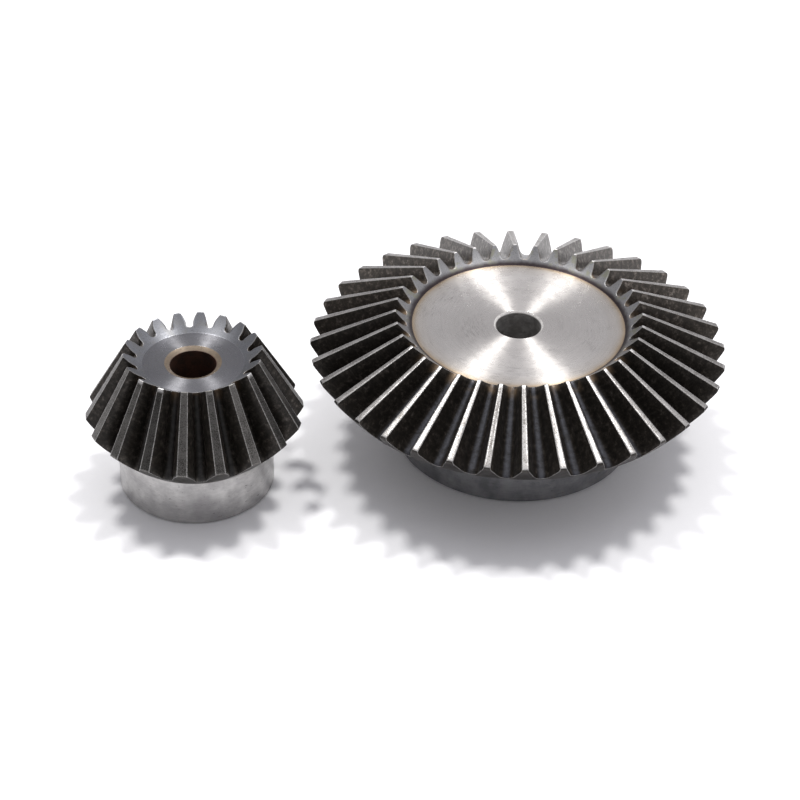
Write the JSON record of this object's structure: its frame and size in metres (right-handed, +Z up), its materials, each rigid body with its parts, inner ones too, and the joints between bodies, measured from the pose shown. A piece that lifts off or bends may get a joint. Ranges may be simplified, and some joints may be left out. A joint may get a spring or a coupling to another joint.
{
  "type": "bevel gear pair",
  "caption": "Straight bevel wheel and its smaller pinion for shafts at a right angle, each a one-piece steel gear with a plain bored hub, standing apart.",
  "frame": {"origin": "on the axis of the wheel's bore, in the plane of the wheel's hub face, which both gears stand on", "axes": "+Z up along the wheel's bore, from its hub to its toothed face; the pinion stands on the -X side, with its bore parallel to Z"},
  "size_m": [0.1389, 0.0939, 0.034],
  "materials": {
    "wheel_steel": "turned satin face, dark scaled tooth flanks",
    "pinion_steel": "dark scaled teeth, satin turned hub"
  },
  "bodies": {
    "wheel": {"wheel_gear": "wheel_steel"},
    "pinion": {"pinion_gear": "pinion_steel"}
  },
  "joints": [
    {"name": "pinion_spin", "type": "hinge", "parent": "wheel", "child": "pinion", "pos_m": [-0.0692, -0.0241, 0.0155], "axis": [0, 0, 1], "continuous": true}
  ]
}
